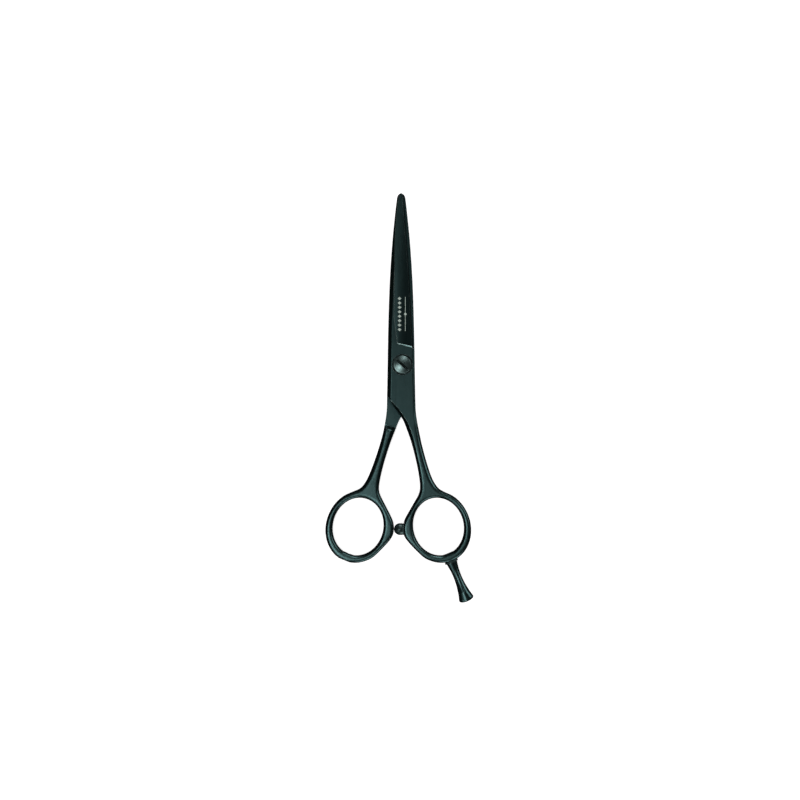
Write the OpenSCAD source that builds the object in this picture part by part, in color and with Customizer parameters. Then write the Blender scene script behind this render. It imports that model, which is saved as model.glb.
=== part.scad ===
// Hair cutting shears, closed, lying on their back face.
// The pivot axis is the Z axis, the table is Z = 0, and the blade tips point along +Y.
// The front half is the upper one: blade on the left, finger ring on the right.
// The rear half is the lower one: blade on the right, thumb ring on the left.

/* [Halves] */
// Thickness of one half at the pivot
half_t = 2.3; // [2.1:0.05:2.6]
// Gap between the inner faces of the two halves
ride_gap = 0.06; // [0.04:0.01:0.1]
// Sideways place of the blades' common middle line, from the pivot
mid_x = -0.42; // [-0.6:0.02:0]
// Extra sideways lean of the thumb handle, at its ring
thumb_splay = 2.19; // [1.5:0.01:3]

/* [Blades] */
// Distance from the pivot to the middle of the rounded tips
tip_y = 62.2; // [61:0.1:64]
// Half width of the rounded tip
tip_w = 1.66; // [1.4:0.02:1.9]
// Length of the rounded tip
tip_len = 2.5; // [1.8:0.1:3]
// How far each cutting edge lies inside the other half's spine
edge_inset = 0.6; // [0.4:0.05:0.8]
// Thickness of a blade at its tip
tip_t = 1.5; // [1.3:0.05:1.8]
// Width of the cutting bevel
edge_bevel = 0.85; // [0.6:0.05:1]
// Thickness of the cutting edge
edge_t = 0.12; // [0.1:0.01:0.2]
// Slope of the ground face, in degrees
grind_angle = 12.5; // [10:0.5:14]
// Deepest point of the hollow inner face
hollow_depth = 0.25; // [0.15:0.01:0.35]
// Radius of the hollow inner face
hollow_r = 18; // [16:1:24]

/* [Finger rings] */
// Distance from the pivot to the ring centres
ring_y = 61.15; // [60:0.05:62]
// Half length of the opening
hole_a = 10.97; // [10.6:0.01:11.2]
// Half width of the opening
hole_b = 9.52; // [9.2:0.01:9.7]
// Lean of the opening, in degrees
hole_lean = 14; // [8:1:20]
// Half length of the ring outside
ring_a = 13.95; // [13.7:0.01:14.2]
// Half width of the ring outside
ring_b = 12.1; // [11.9:0.01:12.3]
// Lean of the ring outside, in degrees
ring_lean = 22; // [18:1:26]
// Width of the rounded outer edges
edge_w = 1.05; // [0.8:0.05:1.1]
// Height of the rounded edges
edge_h = 1.6; // [1.2:0.05:1.9]

/* [Pivot] */
// Radius of the screw head
head_r = 3.35; // [3.2:0.05:3.5]
// Radius of the recess round the head
recess_r = 3.8; // [3.7:0.05:4]
// Depth of the recess
recess_depth = 0.9; // [0.8:0.05:1]
// Radius of the screw's plain journal
journal_r = 2.25; // [2.15:0.05:2.35]
// Radius of the screw's threaded end
thread_r = 2; // [1.8:0.05:2.05]
// Outer radius of the bush
bush_r = 2.75; // [2.65:0.05:2.9]
// Thickness of the bush's flange
flange_t = 0.35; // [0.3:0.05:0.4]
// Height of the head above the front face
head_proud = 0.75; // [0.6:0.05:0.9]
// Width of the screwdriver slot
slot_w = 0.9; // [0.7:0.05:1]
// Depth of the screwdriver slot
slot_depth = 0.7; // [0.5:0.05:0.8]
// Direction of the slot in the closed shears, in degrees
slot_angle = -42; // [-90:1:90]

/* [Bumper] */
// Place of the bumper along the shears
bumper_y = -62.1; // [-62.6:0.1:-61.6]
// Radius of the bumper
bumper_r = 2.22; // [2:0.02:2.25]
// Gap between the closed bumper and the thumb ring's boss
bumper_gap = 0.08; // [0.05:0.01:0.15]
// Radius of the bumper's stud
bumper_stud_r = 1; // [0.8:0.05:1.1]

/* [Finger rest] */
// Direction of both rest seats from straight down, in degrees
seat_angle = 22; // [20:1:24]
// Distance of both rest seats from their ring's centre
seat_r = 13.62; // [13.5:0.02:13.7]
// Sideways shift of both rest seats from their ring's centre
seat_shift = -0.42; // [-0.6:0.02:0]
// Distance of the flat pad inside each opening from its ring's centre
pad_r = 10.68; // [10.5:0.02:10.9]
// Radius of the thread that holds the rest
rest_stud_r = 1.25; // [1.1:0.05:1.3]
// Radius of the collar
collar_r = 2.55; // [2.2:0.05:2.6]
// Thickness of the collar
collar_t = 0.8; // [0.5:0.05:1]

/* [Hidden] */

STEEL = "#2c3a3a";
BRIGHT = "#8d9998";
NYLON = "#101414";
RUBBER = "#0c0e0e";

BIG = 40;               // size of the cutting blocks
FIT = 0.03;             // radial clearance of a turning or threaded fit
PRESS = 0.01;           // radial clearance of a pressed or screwed-down fit
ROUND = 64;             // facets round a small circle

ring_v = 14.09;         // sideways place of the finger ring's centre from the middle line

// Where each handle is welded to its blade, in the half's own plan
WELD = [3.75, -23.2];
WELD_TILT = 22;

// ---------------------------------------------------------------- curves

// One point of a smooth curve between b and c, with a before and d after them.
function between(a, b, c, d, t) =
    b + 0.5 * t * (c - a + t * (2 * a - 5 * b + 4 * c - d + t * (3 * (b - c) + d - a)));

// n points of a smooth curve through the points p, from the first to the last.
function curve(p, n) =
    let (last = len(p) - 1)
    [for (k = [0 : n - 1])
        let (s = last * k / (n - 1), i = min(floor(s), last - 1))
        between(p[max(i - 1, 0)], p[i], p[i + 1], p[min(i + 2, last)], s - i)];

// Unit vector that points into a closed counter-clockwise outline at its point i.
function inward(p, i) =
    let (m = len(p), d = p[(i + 1) % m] - p[(i + m - 1) % m], n = norm([d[0], d[1]]))
    [-d[1] / n, d[0] / n];

// A point of an ellipse whose long axis leans off the Y axis, its top towards the middle line.
function ellipse_point(c, a, b, lean, t) =
    let (x = a * cos(t), y = b * sin(t), d = 90 + lean)
    [c[0] + x * cos(d) - y * sin(d), c[1] + x * sin(d) + y * cos(d)];

// An outline down the left chain of points and up the right one, which has as many points.
function outline_of(left, right) = concat(left, [for (i = [len(right) - 1 : -1 : 0]) right[i]]);

// A solid whose sides are the rings, each an outline_of two chains, lowest first. Its ends are
// closed with a ladder of triangles between the two chains.
module stack(rings) {
    m = len(rings[0]);
    n = len(rings);
    sides = [for (j = [0 : n - 2], i = [0 : m - 1])
        let (a = j * m + i, b = j * m + (i + 1) % m)
        each [[a, a + m, b], [b, a + m, b + m]]];
    ladder = [for (i = [0 : m / 2 - 2]) each [[i, i + 1, m - 1 - i], [i + 1, m - 2 - i, m - 1 - i]]];
    polyhedron(
        points = [for (r = rings) each r],
        faces = concat(
            ladder, sides, [for (f = ladder) [for (i = [2, 1, 0]) (n - 1) * m + f[i]]]));
}

// ---------------------------------------------------------------- the two halves
// Both halves are drawn in one plan: v runs from the middle line towards the half's own handle,
// y along the shears, and w is the height above the parting plane, towards the outer face.

module front_place() translate([mid_x, 0, half_t]) children();
module rear_place() translate([mid_x, 0, half_t]) rotate([0, 180, 0]) children();

// A block on the handle side (side = -1) or the blade side (side = 1) of the weld.
module weld_side(side) {
    translate([WELD[0], WELD[1], 0]) rotate(WELD_TILT)
        translate([-2 * BIG, side > 0 ? 0 : -4 * BIG, -BIG / 2])
            cube([4 * BIG, 4 * BIG, BIG]);
}

// The spine of a blade, from its tip down to the crossing: [distance from the middle line, y].
spine_line = [
    [tip_w, tip_y], [1.95, 60], [3, 50], [3.8, 40], [4.37, 30], [4.72, 20], [4.96, 10], [5.1, 0],
    [5.22, -6], [5.35, -12.6],
];
// Where the half crosses over the other one, from its spine into the inner side of its shank.
cross_line = [[-5.35, -12.6], [-3.5, -15.1], [-1.6, -17.6], [0, -19.75], [1.1, -21.8], [2.6, -25.6]];
// The outer side of the pivot plate and the shank, from the heel down past the weld.
plate_line = [[5.04, 6.2], [5.12, 0], [5.22, -6], [5.35, -12.6], [5.5, -17.3], [6.1, -21.8], [6.9, -25.6]];

// How each stretch of a blade's edge leans in over its three steps, as [width, height] pairs.
SPINE = [[0, half_t - 1.1], [0.65, half_t - 0.55], [1.3, half_t]];
SPINE_TIP = [[0, half_t - 1.6], [0.3, half_t - 1.2], [0.6, half_t]];
CROSS = [[0, half_t - 1.4], [0.75, half_t - 0.7], [1.5, half_t]];
PLATE = [[0, half_t - 0.6], [0.28, half_t - 0.3], [0.56, half_t]];
EDGE = [[0, edge_t], [edge_bevel, edge_t + edge_bevel], [edge_bevel + 0.05, half_t]];

// The spine point p moved to the cutting edge's side of the blade.
function edge_point(p) = [p[0] - edge_inset * min(1, (tip_y + 6 - p[1]) / 20), p[1]];
edge_line = concat([for (i = [0 : 6]) edge_point(spine_line[i])], [[4.41, 6.6]]);

// One side of the rounded tip, from its top down.
function tip_side(w) = [for (t = [84 : -14 : 14]) [w * cos(t), tip_y + tip_len * sin(t)]];

// Every point of a blade's outline carries the three steps of its edge: [v, y, steps].
function with_steps(p, steps) = [for (q = p) [q[0], q[1], steps]];

blade_left = concat(
    with_steps([for (p = tip_side(tip_w)) [-p[0], p[1]]], SPINE_TIP),
    [for (p = curve(spine_line, 28))
        let (k = min(1, (tip_y - p[1]) / 12))
        [-p[0], p[1], SPINE * k + SPINE_TIP * (1 - k)]],
    with_steps([for (i = [1 : 15]) curve(cross_line, 16)[i]], CROSS));
blade_right = concat(
    with_steps(tip_side(tip_w - 0.17), EDGE),
    with_steps(curve(edge_line, 24), EDGE),
    with_steps(curve(plate_line, 19), PLATE));

// The flat land of the outer face ends on the line from HEEL to LAND_TIP, where the ground face
// starts, and the ground face ends in a step at the heel.
HEEL = [-1.6, 8.2];
LAND_TIP = [-0.9, tip_y];
HEEL_TILT = -15.6;
land_len = norm(LAND_TIP - HEEL);
land_turn = -atan((LAND_TIP[0] - HEEL[0]) / (LAND_TIP[1] - HEEL[1]));
taper_angle = atan((half_t - tip_t) / land_len);

// The metal that the thinning towards the tip takes off.
module taper_cut() {
    translate([0, HEEL[1], half_t]) rotate([-taper_angle, 0, 0])
        translate([-BIG / 2, 0, 0]) cube([BIG, 2 * BIG, BIG / 4]);
}

// The metal that the ground face takes off, up to the step at the heel.
module grind_cut() {
    intersection() {
        translate([HEEL[0], HEEL[1], half_t]) rotate([-taper_angle, 0, land_turn])
            rotate([90, 0, 0]) translate([0, 0, -2 * BIG]) linear_extrude(3 * BIG)
                polygon([[0, 0], [BIG, -BIG * tan(grind_angle)], [BIG, BIG], [0, BIG / 4]]);
        translate([HEEL[0], HEEL[1], -BIG / 2]) rotate(HEEL_TILT) cube([2 * BIG, 2 * BIG, BIG]);
    }
}

// The shallow hollow of the inner face, fading out towards the tip.
module hollow_cut() {
    start_y = 9;
    fade = atan((hollow_depth - 0.04) / (tip_y - start_y));
    translate([0, start_y, ride_gap / 2 + hollow_depth]) rotate([-fade, 0, 0])
        translate([0, 0, -hollow_r]) rotate([-90, 0, 0])
            cylinder(r = hollow_r, h = 2 * BIG, $fn = 180);
}

// One blade with its pivot plate, before the pivot is machined.
module blade_blank() {
    outline = outline_of(blade_left, blade_right);
    ids = [0 : len(outline) - 1];
    intersection() {
        difference() {
            stack(concat(
                [[for (p = outline) [p[0], p[1], ride_gap / 2]]],
                [for (s = [0 : 2])
                    [for (i = ids)
                        let (p = outline[i], n = inward(outline, i))
                        [p[0] + p[2][s][0] * n[0], p[1] + p[2][s][0] * n[1], p[2][s][1]]]]));
            taper_cut();
            grind_cut();
            hollow_cut();
        }
        weld_side(1);
    }
}

// The two sides of a handle, from above the weld down to its ring, without any splay.
outer_line = [[5.45, -17.3], [6.1, -21.8], [7, -26.4], [8, -30.9], [9.2, -35.4], [10.6, -40],
              [12.05, -43.7], [14, -46.6]];
inner_line = [[0.3, -20.2], [2, -24.1], [3.6, -28.6], [4.87, -33.2], [5.92, -37.7], [6.75, -42.2],
              [7.15, -46.4], [6.65, -48.9], [5.5, -51], [3.25, -54.9], [1.15, -58.8], [0.55, -62.1],
              [1.75, -65.8]];
SPLAY_Y = -26;          // where a handle starts to lean out

// A point leant out by the splay, in full from the ring's centre down.
function lean_out(p, splay) =
    [p[0] + splay * min(1, max(0, (SPLAY_Y - p[1]) / (SPLAY_Y + ring_y))), p[1]];

function ring_centre(splay) = [ring_v + splay, -ring_y];

function handle_outline(splay) =
    let (c = ring_centre(splay))
    outline_of(
        curve(concat(
            [for (p = inner_line) lean_out(p, splay)],
            [for (i = [0 : 3]) ellipse_point(c, ring_a, ring_b, ring_lean, 125 + i * 16)]), 49),
        curve(concat(
            [for (p = outer_line) lean_out(p, splay)],
            [for (i = [0 : 8]) ellipse_point(c, ring_a, ring_b, ring_lean, 326 - i * 18.6)]), 49));

// The rounded edges of a handle, as [width, height] pairs from the lower face to the upper one.
upper_edge = [for (t = [0 : 30 : 90]) [edge_w * (1 - cos(t)), half_t - edge_h * (1 - sin(t))]];
both_edges = concat([for (i = [3 : -1 : 0]) [upper_edge[i][0], -upper_edge[i][1]]], upper_edge);

// The finger opening with its rounded rims, and with the flat pad that the rest's thread runs through.
module ring_opening(splay) {
    steps = concat([[edge_w, -half_t - 1]], both_edges, [[edge_w, half_t + 1]]);
    difference() {
        stack([for (s = steps) [for (t = [4.5 : 9 : 355.5])
            let (p = ellipse_point(ring_centre(splay), hole_a + s[0], hole_b + s[0], hole_lean, t))
            [p[0], p[1], s[1]]]]);
        seat_frame(splay) translate([-BIG / 2, -BIG / 2, pad_r - seat_r]) cube(BIG);
    }
}

// The frame of the finger rest's seat: its origin on the seat, and +Z out of the ring.
module seat_frame(splay) {
    translate([ring_v + splay, -ring_y, 0]) rotate(seat_angle) rotate([90, 0, 0])
        translate([seat_shift, 0, seat_r]) children();
}

// One shank with its finger ring, before its holes are drilled.
module handle_blank(splay) {
    outline = handle_outline(splay);
    intersection() {
        difference() {
            stack([for (s = both_edges) [for (i = [0 : len(outline) - 1])
                let (n = inward(outline, i))
                [outline[i][0] + s[0] * n[0], outline[i][1] + s[0] * n[1], s[1]]]]);
            ring_opening(splay);
            seat_frame(splay) translate([-BIG / 2, -BIG / 2, 0]) cube([BIG, BIG, BIG / 2]);
        }
        weld_side(-1);
    }
}

// ---------------------------------------------------------------- sub-parts

module front_blade() {
    color(STEEL) difference() {
        front_place() blade_blank();
        translate([0, 0, -1]) cylinder(r = bush_r + PRESS, h = BIG, $fn = ROUND);
        translate([0, 0, 2 * half_t - recess_depth]) cylinder(r = recess_r, h = BIG, $fn = ROUND);
    }
}

module rear_blade() {
    color(STEEL) difference() {
        rear_place() blade_blank();
        translate([0, 0, -1]) cylinder(r = thread_r + FIT, h = BIG, $fn = ROUND);
    }
}

bumper_seat_x = 0.64;
bumper_len = bumper_seat_x + 3.25 - bumper_gap;
bumper_core = 1.9;      // how far the stud reaches into the rubber
bumper_hold = 2;        // how far the stud reaches into the ring

module front_handle() {
    color(STEEL) difference() {
        front_place() handle_blank(0);
        translate([bumper_seat_x - BIG, -70, -BIG / 2]) cube([BIG, 15, BIG]);
        translate([bumper_seat_x - 1, bumper_y, half_t]) rotate([0, 90, 0])
            cylinder(r = bumper_stud_r + PRESS, h = 1 + bumper_hold + 0.2, $fn = ROUND);
        front_place() seat_frame(0) translate([0, 0, -5])
            cylinder(r = rest_stud_r + PRESS, h = 10, $fn = ROUND);
    }
}

module rear_handle() {
    color(STEEL) difference() {
        rear_place() handle_blank(thumb_splay);
        rear_place() seat_frame(thumb_splay) translate([0, 0, -5])
            cylinder(r = rest_stud_r, h = 10, $fn = ROUND);
    }
}

head_z = 2 * half_t - recess_depth + flange_t + 0.02;
journal_z = half_t;
dome_h = 0.5;

module pivot_screw() {
    top_z = 2 * half_t + head_proud;
    dome_r = (head_r * head_r + dome_h * dome_h) / (2 * dome_h);
    color(BRIGHT) difference() {
        union() {
            translate([0, 0, 0.15]) cylinder(r = thread_r, h = journal_z, $fn = ROUND);
            translate([0, 0, journal_z]) cylinder(r = journal_r, h = head_z - journal_z + 0.1, $fn = ROUND);
            intersection() {
                translate([0, 0, head_z]) cylinder(r = head_r, h = top_z - head_z, $fn = ROUND);
                translate([0, 0, top_z - dome_r]) sphere(r = dome_r, $fn = 180);
            }
        }
        rotate(slot_angle) translate([-BIG / 2, -slot_w / 2, top_z - slot_depth])
            cube([BIG, slot_w, BIG]);
    }
}

module pivot_bush() {
    flange_z = 2 * half_t - recess_depth;
    color(NYLON) difference() {
        union() {
            translate([0, 0, half_t + ride_gap / 2]) cylinder(r = bush_r, h = flange_z - half_t, $fn = ROUND);
            translate([0, 0, flange_z]) cylinder(r = recess_r - 0.03, h = flange_t, $fn = ROUND);
        }
        cylinder(r = journal_r + FIT, h = BIG, $fn = ROUND);
    }
}

// The frame of the bumper: its origin on the seat, +Z out towards the other ring.
module bumper_frame() translate([bumper_seat_x, bumper_y, half_t]) rotate([0, -90, 0]) children();

module bumper() {
    flat_len = bumper_len - bumper_r;
    color(RUBBER) bumper_frame() difference() {
        rotate_extrude($fn = ROUND) union() {
            square([bumper_r, flat_len]);
            intersection() {
                translate([0, flat_len]) circle(r = bumper_r, $fn = ROUND);
                square([bumper_r, bumper_len]);
            }
        }
        translate([0, 0, -1]) cylinder(r = bumper_stud_r, h = 1 + bumper_core, $fn = ROUND);
    }
}

module bumper_stud() {
    color(BRIGHT) bumper_frame() translate([0, 0, -bumper_hold])
        cylinder(r = bumper_stud_r, h = bumper_hold + bumper_core, $fn = ROUND);
}

// The finger rest's round outline: [distance from the collar, radius].
rest_line = [[0, 2.1], [0.8, 1.95], [1.7, 1.82], [3.1, 1.62], [4.6, 1.54], [6.7, 1.54], [9.2, 1.74],
             [11.9, 2.18], [13.6, 2.55], [15, 2.87]];
rest_end = 15.85;       // length of the rest with its domed end
rest_thick = 2.2;       // greatest half thickness of the rest, which keeps it off the table

module finger_rest() {
    color(STEEL) front_place() seat_frame(0) difference() {
        intersection() {
            translate([0, 0, collar_t]) rotate_extrude($fn = ROUND)
                polygon(concat(
                    [[0, 0]], [for (p = curve(rest_line, 28)) [p[1], p[0]]],
                    [[2.8, rest_end - 0.35], [2.4, rest_end - 0.1], [0, rest_end]]));
            translate([-BIG / 2, -rest_thick, -1]) cube([BIG, 2 * rest_thick, BIG]);
        }
        translate([0, 0, -1]) cylinder(r = rest_stud_r, h = 5 + PRESS, $fn = ROUND);
    }
}

module finger_rest_collar() {
    color(NYLON) front_place() seat_frame(0) difference() {
        intersection() {
            cylinder(r = collar_r, h = collar_t, $fn = ROUND);
            translate([-BIG / 2, -rest_thick, -1]) cube([BIG, 2 * rest_thick, BIG]);
        }
        translate([0, 0, -1]) cylinder(r = rest_stud_r, h = BIG, $fn = ROUND);
    }
}

module finger_rest_stud() {
    color(BRIGHT) front_place() seat_frame(0) translate([0, 0, -2.6])
        cylinder(r = rest_stud_r, h = 2.6 + 4, $fn = ROUND);
}

front_blade();
front_handle();
rear_blade();
rear_handle();
pivot_screw();
pivot_bush();
bumper();
bumper_stud();
finger_rest();
finger_rest_collar();
finger_rest_stud();
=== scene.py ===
"""Looks of the hair cutting shears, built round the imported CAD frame.

Shapes are worked out in millimetres and handed to Blender in metres. Both halves are drawn in one
plan, as in the CAD: v runs from the middle line towards the half's own handle, y along the
shears, and w is the height above the parting plane, towards the half's outer face.
"""

import math

import bmesh
import bpy
import numpy as np
from mathutils import Matrix, Vector
from mathutils.geometry import delaunay_2d_cdt

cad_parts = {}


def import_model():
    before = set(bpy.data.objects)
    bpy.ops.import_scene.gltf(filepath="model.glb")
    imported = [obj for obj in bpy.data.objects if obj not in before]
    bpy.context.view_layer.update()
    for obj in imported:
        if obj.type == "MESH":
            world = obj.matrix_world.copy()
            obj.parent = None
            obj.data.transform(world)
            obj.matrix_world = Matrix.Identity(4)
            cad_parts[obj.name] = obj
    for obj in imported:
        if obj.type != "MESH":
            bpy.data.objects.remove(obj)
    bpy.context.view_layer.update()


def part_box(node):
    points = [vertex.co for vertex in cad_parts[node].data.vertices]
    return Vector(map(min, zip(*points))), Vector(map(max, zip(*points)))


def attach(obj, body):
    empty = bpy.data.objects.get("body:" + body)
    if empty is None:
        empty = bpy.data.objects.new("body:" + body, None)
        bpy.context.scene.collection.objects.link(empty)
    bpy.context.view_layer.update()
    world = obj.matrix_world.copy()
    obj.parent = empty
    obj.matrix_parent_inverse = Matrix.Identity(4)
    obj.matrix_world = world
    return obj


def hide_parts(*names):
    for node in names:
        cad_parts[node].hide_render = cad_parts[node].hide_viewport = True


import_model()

MM = 0.001


def box_mm(node):
    """The lowest and the highest corner of a CAD node, in millimetres."""
    return [Vector(corner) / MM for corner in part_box(node)]


# ---------------------------------------------------------------- sizes, in millimetres

handle_low, handle_high = box_mm("front_handle")
front_low, front_high = box_mm("front_blade")
rear_high = box_mm("rear_blade")[1]
screw_low, screw_high = box_mm("pivot_screw")
bumper_low, bumper_high = box_mm("bumper")

HALF_T = (handle_high.z - handle_low.z) / 2  # from the parting plane to an outer face
MID_X = (front_low.x + rear_high.x) / 2  # the blades' common middle line
RIDE = front_low.z - HALF_T  # from the parting plane to an inner face
SPLAY = 2.19  # extra lean of the thumb handle at its ring
SPLAY_Y = -26  # where that lean starts

TIP_LEN = 2.5
TIP_Y = front_high.y - TIP_LEN
TIP_W = 1.66
TIP_T = 1.5
EDGE_INSET = 0.6  # of the cutting edge from the other half's spine, by the heel
EDGE_MORE = 0.55  # what that inset grows by further out
EDGE_T = 0.12
EDGE_BEVEL = 0.85
HEEL = (-1.6, 8.2)
CREST, CREST_END = (-1.2, 8.2), (-0.7, 62.2)  # ends of the ground face's highest line
CREST_TURN = math.atan((CREST[0] - CREST_END[0]) / (CREST_END[1] - CREST[1]))
CREST_DEPTH = 0.07  # of that line below the land
LAND_START, LAND_LEAN = (-1.45, 8.2), math.radians(7.6)  # where the land and the ground face meet
GRIND_SLOPE, GRIND_REACH = math.tan(math.radians(15.5)), 3  # the face's full slope, and how far
# across from its highest line it reaches it
GRIND_START = -1.6  # where the face starts, on the spine's side of its highest line
HEEL_TILT = math.radians(-13)
CHAMFER_TILT = math.radians(-16)  # the heel's chamfer widens towards the cutting edge
HEEL_CHAMFER = 0.12
THINNING = math.atan((HALF_T - TIP_T) / (TIP_Y - HEEL[1]))  # slope from the heel to the tip
HOLLOW_DEPTH = 0.25
HOLLOW_R = 18
HOLLOW_Y = 9
MARK_LIFT, MARK_ROOT = 0.03, -0.05  # the mark's top and underside, from the ground face

WELD = (3.75, -23.2)
WELD_TILT = math.radians(22)
RAMP_LEN = 1.7  # how gently a handle rises from its blade's inner face

RING_V, RING_Y = 14.09, -61.15
HOLE_A, HOLE_B, HOLE_LEAN = 10.97, 9.52, 14
RING_A, RING_B, RING_LEAN = 13.95, 12.1, 22
SEAT_ANGLE = math.radians(22)
SEAT_R, SEAT_SHIFT, PAD_R = 13.62, -0.42, 10.68

HEAD_R = (screw_high.x - screw_low.x) / 2
RECESS_R, RECESS_DEPTH = 3.8, 0.9
JOURNAL_R, THREAD_R, BUSH_R, FLANGE_T = 2.25, 2.0, 2.75, 0.35
STUD_R, BUMPER_STUD_R = 1.25, 1.0
COLLAR_R, COLLAR_T = 2.55, 0.8
REST_THICK = 2.2  # half the greatest thickness of the finger rest

STEPS = 8  # steps in a rounded edge
BIG = 90  # size of the cutting blocks

# ---------------------------------------------------------------- curves and outlines


def curve(points, count):
    """count points of a smooth curve through points, from the first to the last."""
    p = np.array(points, float)
    s = np.linspace(0, len(p) - 1, count)
    i = np.minimum(s.astype(int), len(p) - 2)
    t = (s - i)[:, None]
    a, b = p[np.maximum(i - 1, 0)], p[i]
    c, d = p[i + 1], p[np.minimum(i + 2, len(p) - 1)]
    return b + 0.5 * t * (c - a + t * (2 * a - 5 * b + 4 * c - d + t * (3 * (b - c) + d - a)))


def smooth(t):
    """Runs smoothly from 0 to 1 as t does."""
    t = np.clip(t, 0, 1)
    return t * t * (3 - 2 * t)


def inward(points, end):
    """Unit vectors that point into a counter-clockwise outline, whose square end, which is cut
    off later, lies just before point number end."""
    d = np.roll(points, -1, axis=0) - np.roll(points, 1, axis=0)
    normals = np.stack([-d[:, 1], d[:, 0]], axis=1) / np.linalg.norm(d, axis=1)[:, None]
    normals[end], normals[end - 1] = normals[end + 1], normals[end - 2]
    return normals


def ellipse(centre, a, b, lean, degrees):
    """Points of an ellipse whose long axis leans off the Y axis, its top towards the middle line."""
    t = np.radians(np.array(degrees, float))
    d = math.radians(90 + lean)
    x, y = a * np.cos(t), b * np.sin(t)
    return np.stack(
        [
            centre[0] + x * math.cos(d) - y * math.sin(d),
            centre[1] + x * math.sin(d) + y * math.cos(d),
        ],
        axis=1,
    )


# An edge's section is a row of [inset from the outline, drop below the face] pairs.


def bevelled(width, height, soft=0.2):
    """A straight bevel whose upper edge is softened over a short length."""
    corner = np.array([width, 0.0])
    start = corner + soft * np.array([-width, height]) / math.hypot(width, height)
    end = corner + [soft, 0]
    flat = [np.array([0.0, height]) * (1 - k / 3) + start * (k / 3) for k in range(3)]
    turn = [
        start * (1 - t) ** 2 + corner * 2 * t * (1 - t) + end * t * t
        for t in np.linspace(0, 1, STEPS - 2)
    ]
    return np.array(flat + turn)


def rounded(width, height):
    """A quarter of an ellipse."""
    t = np.linspace(0, math.pi / 2, STEPS + 1)
    return np.stack([width * (1 - np.cos(t)), height * (1 - np.sin(t))], axis=1)


def cutting_edge(width):
    """The cutting bevel, and the wall over it that the ground face takes off."""
    low = HALF_T - EDGE_T
    share = [k / (STEPS - 1) for k in range(STEPS)]
    rise = [[width * t, low - EDGE_BEVEL * t] for t in share]
    return np.array(rise + [[width + 0.05, 0]])


SPINE = bevelled(1.25, 1.1, 0.4)
SPINE_MID = bevelled(1.5, 1.1, 0.04)
SPINE_TIP = bevelled(0.6, 0.7, 0.1)
CROSS_START = bevelled(0.33, 2.0, 0.1)
CROSS = bevelled(1.0, 1.5, 0.04)
CROSS_END = bevelled(1.3, 1.5, 0.06)
PLATE = bevelled(0.9, 0.45, 0.12)
EDGE = cutting_edge(0.35)
SHANK_INNER = rounded(1.25, 1.6)
SHANK_OUTER = rounded(1.75, 1.8)
RING_EDGE = rounded(1.1, 1.65)


def mix(first, second, share):
    """Sections between two others, one for each share."""
    share = np.asarray(share, float)[:, None, None]
    return first * (1 - share) + second * share


def run(y, start, *changes):
    """Sections down an edge, each change being (where it starts, its length, what it ends as)."""
    made = mix(start, start, np.zeros(len(y)))
    for first, length, end in changes:
        share = smooth((first - y) / length)[:, None, None]
        made = made * (1 - share) + end * share
    return made


def cross_sections(y):
    """The sections down the edge that crosses over the other half."""
    return run(y, CROSS_START, (-12.4, 4.5, CROSS), (-19, 5, CROSS_END))


def inner_sections(y):
    """The sections down the side of a shank that faces the other one."""
    return run(y, CROSS_END, (-25, 10, SHANK_INNER), (-43, 8, RING_EDGE))


def outer_sections(y):
    """The sections down the outer side of a plate and its shank."""
    return run(y, PLATE, (-16, 20, SHANK_OUTER), (-42, 8, RING_EDGE))


# ---------------------------------------------------------------- mesh tools


def row(bm, points, heights):
    """One loop of vertices over plan points."""
    return [bm.verts.new((p[0], p[1], h)) for p, h in zip(points, heights)]


def skin(bm, low, high):
    """A band of faces between two loops with as many vertices, the first of them lower."""
    for i in range(len(low)):
        j = (i + 1) % len(low)
        bm.faces.new((low[i], low[j], high[j], high[i]))


def inside(points, outline):
    """Which points lie in a closed outline."""
    x, y = points[:, 0][:, None], points[:, 1][:, None]
    a, b = outline, np.roll(outline, -1, axis=0)
    crosses = (a[:, 1] > y) != (b[:, 1] > y)
    with np.errstate(divide="ignore", invalid="ignore"):
        at = (b[:, 0] - a[:, 0]) * (y - a[:, 1]) / (b[:, 1] - a[:, 1]) + a[:, 0]
    return (crosses & (x < at)).sum(axis=1) % 2 == 1


def cap(bm, outer, holes, spacing, upwards):
    """Closes the flat area between an outer loop and its holes with even triangles."""
    loops = [outer] + holes
    plans = [np.array([v.co[:2] for v in loop]) for loop in loops]
    rim = np.concatenate(plans)
    low, high = plans[0].min(axis=0), plans[0].max(axis=0)
    rise = spacing * math.sqrt(3) / 2
    rows = np.arange(low[1] + rise / 2, high[1], rise)
    grid = np.array([
        (x + (n % 2) * spacing / 2, y)
        for n, y in enumerate(rows)
        for x in np.arange(low[0], high[0], spacing)
    ])
    keep = inside(grid, plans[0])
    for plan in plans[1:]:
        keep &= ~inside(grid, plan)
    grid = grid[keep]
    near = np.array([np.min(np.sum((rim - g) ** 2, axis=1)) for g in grid])
    grid = grid[near > (0.6 * spacing) ** 2]

    edges, start = [], 0
    for plan in plans:
        n = len(plan)
        edges += [(start + i, start + (i + 1) % n) for i in range(n)]
        start += n
    points = [Vector(p) for p in np.concatenate([rim, grid])]
    made, _, faces, sources, _, _ = delaunay_2d_cdt(points, edges, [], 0, 1e-6)
    height = outer[0].co.z
    flat = [v for loop in loops for v in loop]
    flat += [bm.verts.new((g[0], g[1], height)) for g in grid]
    spots = np.array(made)
    centres = np.array([spots[list(f)].mean(axis=0) for f in faces])
    good = inside(centres, plans[0])
    for plan in plans[1:]:
        good &= ~inside(centres, plan)
    for f, g in zip(faces, good):
        if g:
            corner = [flat[sources[i][0]] for i in f]
            bm.faces.new(corner if upwards else corner[::-1])


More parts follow.
